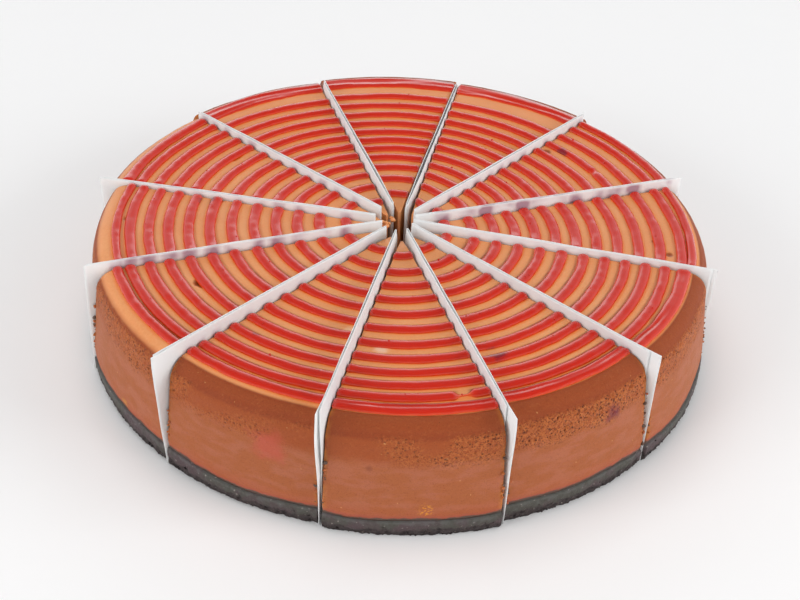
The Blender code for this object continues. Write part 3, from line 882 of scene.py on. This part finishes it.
def custardMaterial():
    look, amounts, bands = custardLook, custardAmounts, wallBands
    graph = Graph("custardLook")
    place = graph.place()
    back, height = (part / mm for part in graph.parts(place)[1:])
    wide = graph.noise(place, 55.0, 3.0)
    streak = graph.noise(graph.stretch(place, (1.0, 1.0, 3.0)), 90.0, 4.0)
    medium = graph.noise(place, 260.0, 4.0)
    fine = graph.noise(place, 1100.0, 3.0)
    grain = graph.noise(place, 2600.0, 2.0)
    skin = graph.attribute("skin")
    warped = height + (wide - 0.5) * 5.0 + (medium - 0.5) * 2.0
    wall = graph.mix(streak.step(0.42, 0.62), look["wall"], look["wallPink"])
    wall = graph.mix((1 - warped.step(*bands["warm"])) * amounts["warm"], wall, look["wallWarm"])
    wall = graph.mix(warped.step(*bands["spongy"]), wall, look["spongy"])
    wall = graph.mix((height + (wide - 0.5) * 2.5).step(*bands["darkBand"]), wall, look["darkBand"])
    wall = graph.mix((height + (streak - 0.5) * 2.0).step(*bands["shoulder"]), wall, look["shoulder"])
    mottled = graph.mix(fine.step(0.3, 0.75), look["topDeep"], look["topPale"])
    top = graph.mix(amounts["mottled"], look["top"], mottled)
    top = graph.mix(wide.step(0.45, 0.75) * amounts["pale"], top, look["topPale"])
    top = graph.mix(back.step(*backReach) * amounts["deep"], top, look["topDeep"])
    # painted light: orange glow beside the rings, then painted shade past their far side
    top = graph.mix((graph.attribute("glow") * (0.5 + 0.5 * medium)).clamp(), top, look["glow"])
    top = graph.mix(graph.attribute("farSideShade") * (0.55 + 0.5 * medium), top, look["farSideShade"])
    skinAmount = (skin + (medium - 0.5) * 0.5 * skin).step(0.3, 0.75)
    rim = graph.mix((skin * 3.0).clamp() * amounts["tan"], top, look["tan"])
    crease = skin.step(0.35, 0.75) * (1 - skin.step(0.9, 1.0)) * (0.4 + 0.6 * wide)
    colour = graph.mix(skinAmount, rim, wall)
    colour = graph.mix(crease * amounts["crease"], colour, look["darkBand"])
    cells = graph.cells(place, 720.0)
    smallCells = graph.cells(place, 1500.0)
    porous = graph.attribute("porous") * (0.5 + medium)
    spongy = (porous * fine.step(0.3, 0.7)).clamp() * skinAmount
    colour = graph.mix(spongy * amounts["sponge"], colour, look["sponge"])
    # painted shade: the pits in the porous band darkened as the inside of the holes
    pit = (1 - cells.step(0.14, 0.38)) * (0.05 + porous).clamp() * skinAmount * medium.step(0.34, 0.5)
    pit = pit.atLeast((1 - smallCells.step(0.16, 0.46)) * porous.clamp() * skinAmount * fine.step(0.25, 0.45))
    colour = graph.mix(pit * amounts["pit"], colour, look["pit"])
    spots = graph.cells(place, 300.0)
    spotted = (1 - spots.step(0.03, 0.10)) * skinAmount * fine.step(0.5, 0.6)
    colour = graph.mix(spotted * amounts["spots"], colour, look["pit"])
    flecks = graph.cells(graph.vector("ADD", place, (0.031, 0.017, 0.043)), 210.0)
    flecked = (1 - flecks.step(0.04, 0.10)) * skinAmount * fine.step(0.5, 0.6)
    colour = graph.mix(flecked * amounts["flecks"], colour, look["speck"])
    colour = graph.mix((grain - 0.5).step(0.0, 0.2) * skinAmount * amounts["grain"], colour, look["pit"])
    colour = graph.mix(fine.step(0.5, 0.8) * skinAmount * amounts["bloom"], colour, look["tan"])
    for spotX, spotY, size, depth, shade in tears:
        torn = spotMask(graph, place, spotX, spotY, tearLevel, size, 0.45, medium)
        colour = graph.mix(torn * amounts["tear"], colour, look[shade])
    for spotX, spotY, spotZ, size, shade, amount in marks:
        marked = spotMask(graph, place, spotX, spotY, spotZ, size, 0.7, medium)
        colour = graph.mix(marked * amount, colour, linear(*shade))
    gold = spotMask(graph, place, *goldSpecks, 0.7, medium) * fine.step(0.5, 0.56)
    colour = graph.mix(gold * amounts["gold"], colour, look["yellow"])
    edge = graph.attribute("edge") * skinAmount * medium.step(0.35, 0.6)
    colour = graph.mix(edge * amounts["edge"], colour, look["yellow"])
    rind = graph.attribute("rind") + (medium - 0.5) * 0.6 + (wide - 0.5) * 0.7
    blush = rind.step(0.25, 0.7) * (1 - rind.step(0.75, 1.0))
    colour = graph.mix(blush * amounts["blush"], colour, look["blush"])
    colour = graph.mix(rind.step(0.72, 0.95) * amounts["rind"], colour, look["rind"])
    pitted = cells.step(0.08, 0.4) * (0.1 + 0.9 * porous) + grain * 0.3 + medium * 0.6
    normal = graph.bump(pitted * skinAmount, 0.4 * mm, 0.9)
    normal = graph.bump(medium + fine * 0.5, 0.12 * mm, 0.5, normal)
    roughness = 0.40 + 0.18 * skinAmount + (fine - 0.5) * 0.15
    shader = graph.principled({
        "Base Color": colour, "Roughness": roughness, "Normal": normal, "Specular IOR Level": 0.3,
        "Subsurface Weight": 0.2, "Subsurface Radius": (0.9, 0.4, 0.2), "Subsurface Scale": 1.4 * mm})
    return graph.finish(shader.outputs[0])


jellyLook = dict(
    deep=linear(202, 36, 11), foot=linear(226, 80, 24), crown=linear(192, 30, 15),
    # back is painted shade on the far side of each ring
    back=linear(104, 20, 22), plum=linear(104, 16, 40),
)
jellyAmounts = dict(back=0.85, plum=0.75)
plumLevel = 45.4
# darker plum stains in the jelly: place and size in mm
plums = ((-52.1, -67.7, 3.6), (28.5, -79.5, 5.0), (67.4, 52.8, 3.4), (61.0, 55.0, 3.0), (-74.0, 15.0, 4.0))


def jellyMaterial():
    look = jellyLook
    graph = Graph("jellyLook")
    place = graph.place()
    wide = graph.noise(place, 70.0, 3.0)
    medium = graph.noise(place, 420.0, 3.0)
    fine = graph.noise(place, 1500.0, 2.0)
    rise = graph.attribute("rise")
    colour = graph.mix((rise + (medium - 0.5) * 0.3).step(0.1, 0.75), look["foot"], look["deep"])
    colour = graph.mix(rise.step(0.7, 1.0) * wide, colour, look["crown"])
    # painted shade: the far, lower side of each ring darkened to maroon, where it mirrors the dark cake
    # behind it
    back = graph.attribute("behind").step(0.25, 0.75) * (1 - rise.step(0.72, 0.95))
    colour = graph.mix(back * jellyAmounts["back"], colour, look["back"])
    for spotX, spotY, size in plums:
        stained = spotMask(graph, place, spotX, spotY, plumLevel, size, 0.6, medium)
        colour = graph.mix(stained * jellyAmounts["plum"], colour, look["plum"])
    normal = graph.bump(medium * 0.6 + wide, 0.2 * mm, 0.5)
    roughness = 0.15 + (fine - 0.5) * 0.1 + wide.step(0.5, 0.8) * 0.08
    shader = graph.principled({
        "Base Color": colour, "Roughness": roughness, "Normal": normal,
        "Specular IOR Level": 0.5, "IOR": 1.42,
        "Subsurface Weight": 0.3, "Subsurface Radius": (1.0, 0.25, 0.1), "Subsurface Scale": 1.0 * mm,
        "Coat Weight": 0.6, "Coat Roughness": 0.05, "Coat IOR": 1.45})
    return graph.finish(shader.outputs[0])


biscuitLook = dict(
    smooth=linear(78, 76, 70), mauve=linear(84, 70, 72), rough=linear(64, 56, 56), crumb=linear(112, 84, 66),
    haze=linear(112, 114, 112), black=linear(20, 13, 15), grain=linear(168, 160, 152),
)
biscuitAmounts = dict(haze=0.35, crumb=0.5, dust=0.2, clumps=0.9, grains=0.7)


def biscuitMaterial():
    look, amounts = biscuitLook, biscuitAmounts
    graph = Graph("biscuitLook")
    place = graph.place()
    wide = graph.noise(place, 90.0, 3.0)
    medium = graph.noise(place, 500.0, 4.0)
    fine = graph.noise(place, 1700.0, 3.0)
    level = graph.attribute("level")
    high = (level + (medium - 0.5) * 0.6 + (wide - 0.5) * 0.5).step(0.4, 0.62)
    smooth = graph.mix(wide.step(0.42, 0.6), look["smooth"], look["mauve"])
    colour = graph.mix(high, look["rough"], smooth)
    colour = graph.mix((level + (medium - 0.5) * 1.2).step(0.7, 1.1) * amounts["haze"], colour, look["haze"])
    colour = graph.mix(fine.step(0.6, 0.7) * (1 - high * 0.7) * amounts["crumb"], colour, look["crumb"])
    colour = graph.mix(fine.step(0.62, 0.66) * amounts["dust"], colour, look["haze"])
    clumps = (1 - (medium + level * 0.28).step(0.44, 0.6)) * (0.45 + 0.55 * wide)
    colour = graph.mix(clumps * amounts["clumps"], colour, look["black"])
    grains = graph.cells(place, 420.0)
    grained = (1 - grains.step(0.08, 0.2)) * fine.step(0.45, 0.6)
    colour = graph.mix(grained * amounts["grains"], colour, look["grain"])
    normal = graph.bump(medium * 0.6 + fine * 0.6, 0.4 * mm, 0.9)
    roughness = 0.66 + (fine - 0.5) * 0.4 - high * 0.1
    shader = graph.principled({
        "Base Color": colour, "Roughness": roughness, "Normal": normal, "Specular IOR Level": 0.22})
    return graph.finish(shader.outputs[0])


paperLook = dict(
    white=linear(251, 252, 252), shade=linear(245, 247, 247),
    # the pink colour is jelly smear together with painted shadow of the rings behind the paper
    smearAndShadow=linear(190, 158, 172), grease=linear(226, 220, 216),
)
paperAmounts = dict(shade=0.6, grease=0.25, glowThrough=0.22)


def paperMaterial():
    look, amounts = paperLook, paperAmounts
    graph = Graph("paperLook")
    place = graph.place()
    wide = graph.noise(place, 45.0, 3.0)
    medium = graph.noise(place, 300.0, 4.0)
    fibres = graph.noise(graph.stretch(place, (1.0, 1.0, 0.35)), 1600.0, 3.0)
    height = graph.parts(place)[2] / mm
    smearAndShadow = graph.attribute("smearAndShadow")
    colour = graph.mix(wide.step(0.35, 0.7) * amounts["shade"], look["white"], look["shade"])
    colour = graph.mix((1 - height.step(30.0, 45.0)) * amounts["grease"] * medium, colour, look["grease"])
    # pink marks: jelly smears with painted shadow of the rings behind the paper
    colour = graph.mix((smearAndShadow * (0.6 + 0.8 * medium)).clamp(), colour, look["smearAndShadow"])
    normal = graph.bump(fibres * 0.5 + medium, 0.08 * mm, 0.5)
    roughness = 0.55 + (fibres - 0.5) * 0.3
    shader = graph.principled({
        "Base Color": colour, "Roughness": roughness, "Normal": normal, "Specular IOR Level": 0.35})
    thin = graph.node("ShaderNodeBsdfTranslucent", values={"Color": colour})
    share = amounts["glowThrough"]
    both = graph.node("ShaderNodeMixShader", values={0: share, 1: shader.outputs[0], 2: thin.outputs[0]})
    return graph.finish(both.outputs[0])


custardSkin = custardMaterial()
jellySkin = jellyMaterial()
biscuitSkin = biscuitMaterial()
paperSkin = paperMaterial()
print("materials made")

for index in range(sliceCount):
    buildCustard(index, custardSkin)
    buildJelly(index, jellySkin)
    buildBiscuit(index, biscuitSkin)
    buildPaper(index, paperSkin)
    buildCrumbs(index, custardSkin, biscuitSkin)
buildMiddleCrumbs(custardSkin)


# floor, light and camera

studio = dict(floorSize=6.0, sky=0.22, skyLow=0.74, backGlow=1.32)
floorLook = dict(low=linear(243, 243, 244), high=linear(250, 250, 250), dust=linear(238, 238, 238))
# area lights: name, place and size in metres, power in watts
softboxes = (
    ("topSoftbox", (-0.2, 0.3, 1.6), (1.2, 1.2), 8.0),
    ("leftSoftbox", (-1.3, -0.8, 0.7), (1.0, 0.8), 10.0),
    ("rightSoftbox", (1.35, -0.55, 0.65), (1.0, 0.8), 12.0),
)
lightTarget = Vector((0, 0, 0.02))
# angles in degrees, place in metres from the middle of the cake's foot
view = dict(lens=72.51, sensor=36.0, yaw=4.186, pitch=36.396, roll=2.739, place=(-0.03603, -0.50655, 0.38410))


def floorMaterial():
    graph = Graph("floorLook")
    place = graph.place()
    cloudy = graph.noise(place, 1.6, 2.0)
    fine = graph.noise(place, 60.0, 3.0)
    colour = graph.mix(cloudy, floorLook["low"], floorLook["high"])
    colour = graph.mix(fine * 0.1, colour, floorLook["dust"])
    roughness = 0.75 + (fine - 0.5) * 0.1
    shader = graph.principled({"Base Color": colour, "Roughness": roughness, "Specular IOR Level": 0.2})
    return graph.finish(shader.outputs[0])


def buildFloor():
    bm = bmesh.new()
    bmesh.ops.create_grid(bm, x_segments=8, y_segments=8, size=studio["floorSize"] / 2)
    mesh = bpy.data.meshes.new("floor")
    bm.to_mesh(mesh)
    bm.free()
    mesh.materials.append(floorMaterial())
    floor = bpy.data.objects.new("floor", mesh)
    bpy.context.scene.collection.objects.link(floor)


def buildWorld():
    world = bpy.data.worlds.new("studio")
    bpy.context.scene.world = world
    world.use_nodes = True
    graph = Graph("studio", world.node_tree)
    direction = graph.node("ShaderNodeTexCoord").outputs["Generated"]
    y, z = graph.parts(direction)[1:]
    low, sky, glow = studio["skyLow"], studio["sky"], studio["sky"] + studio["backGlow"]
    colour = graph.mix(z.step(0.5, 0.85), (low, low, low, 1), (sky, sky, sky, 1))
    behind = y.step(0.83, 0.90) * z.step(-0.03, 0.04) * (1 - z.step(0.50, 0.60))
    colour = graph.mix(behind, colour, (glow, glow, glow, 1))
    background = graph.node("ShaderNodeBackground", values={"Color": colour, "Strength": 1.0})
    graph.node("ShaderNodeOutputWorld", values={"Surface": background.outputs[0]})


def addLight(name, place, size, power):
    data = bpy.data.lights.new(name, "AREA")
    data.shape = "RECTANGLE"
    data.size, data.size_y = size
    data.energy = power
    light = bpy.data.objects.new(name, data)
    light.location = place
    light.visible_glossy = False  # only the world shows in the glossy jelly
    light.rotation_mode = "QUATERNION"
    light.rotation_quaternion = (lightTarget - Vector(place)).to_track_quat("-Z", "Y")
    bpy.context.scene.collection.objects.link(light)


def buildCamera():
    data = bpy.data.cameras.new("camera")
    data.lens = view["lens"]
    data.sensor_width = view["sensor"]
    data.clip_start, data.clip_end = 0.01, 20.0
    camera = bpy.data.objects.new("camera", data)
    yaw, pitch, roll = (math.radians(view[name]) for name in ("yaw", "pitch", "roll"))
    forward = Vector((math.sin(yaw) * math.cos(pitch), math.cos(yaw) * math.cos(pitch), -math.sin(pitch)))
    level = Vector((math.cos(yaw), -math.sin(yaw), 0.0))
    upright = level.cross(forward)
    right = level * math.cos(roll) + upright * math.sin(roll)
    up = upright * math.cos(roll) - level * math.sin(roll)
    turned = Matrix((right, up, -forward)).transposed()
    camera.rotation_mode = "QUATERNION"
    camera.rotation_quaternion = turned.to_quaternion()
    camera.location = cakeMiddle + Vector(view["place"])
    bpy.context.scene.collection.objects.link(camera)
    bpy.context.scene.camera = camera


buildFloor()
buildWorld()
for softbox in softboxes:
    addLight(*softbox)
bpy.context.scene.view_settings.view_transform = "Standard"
buildCamera()
print("studio made")
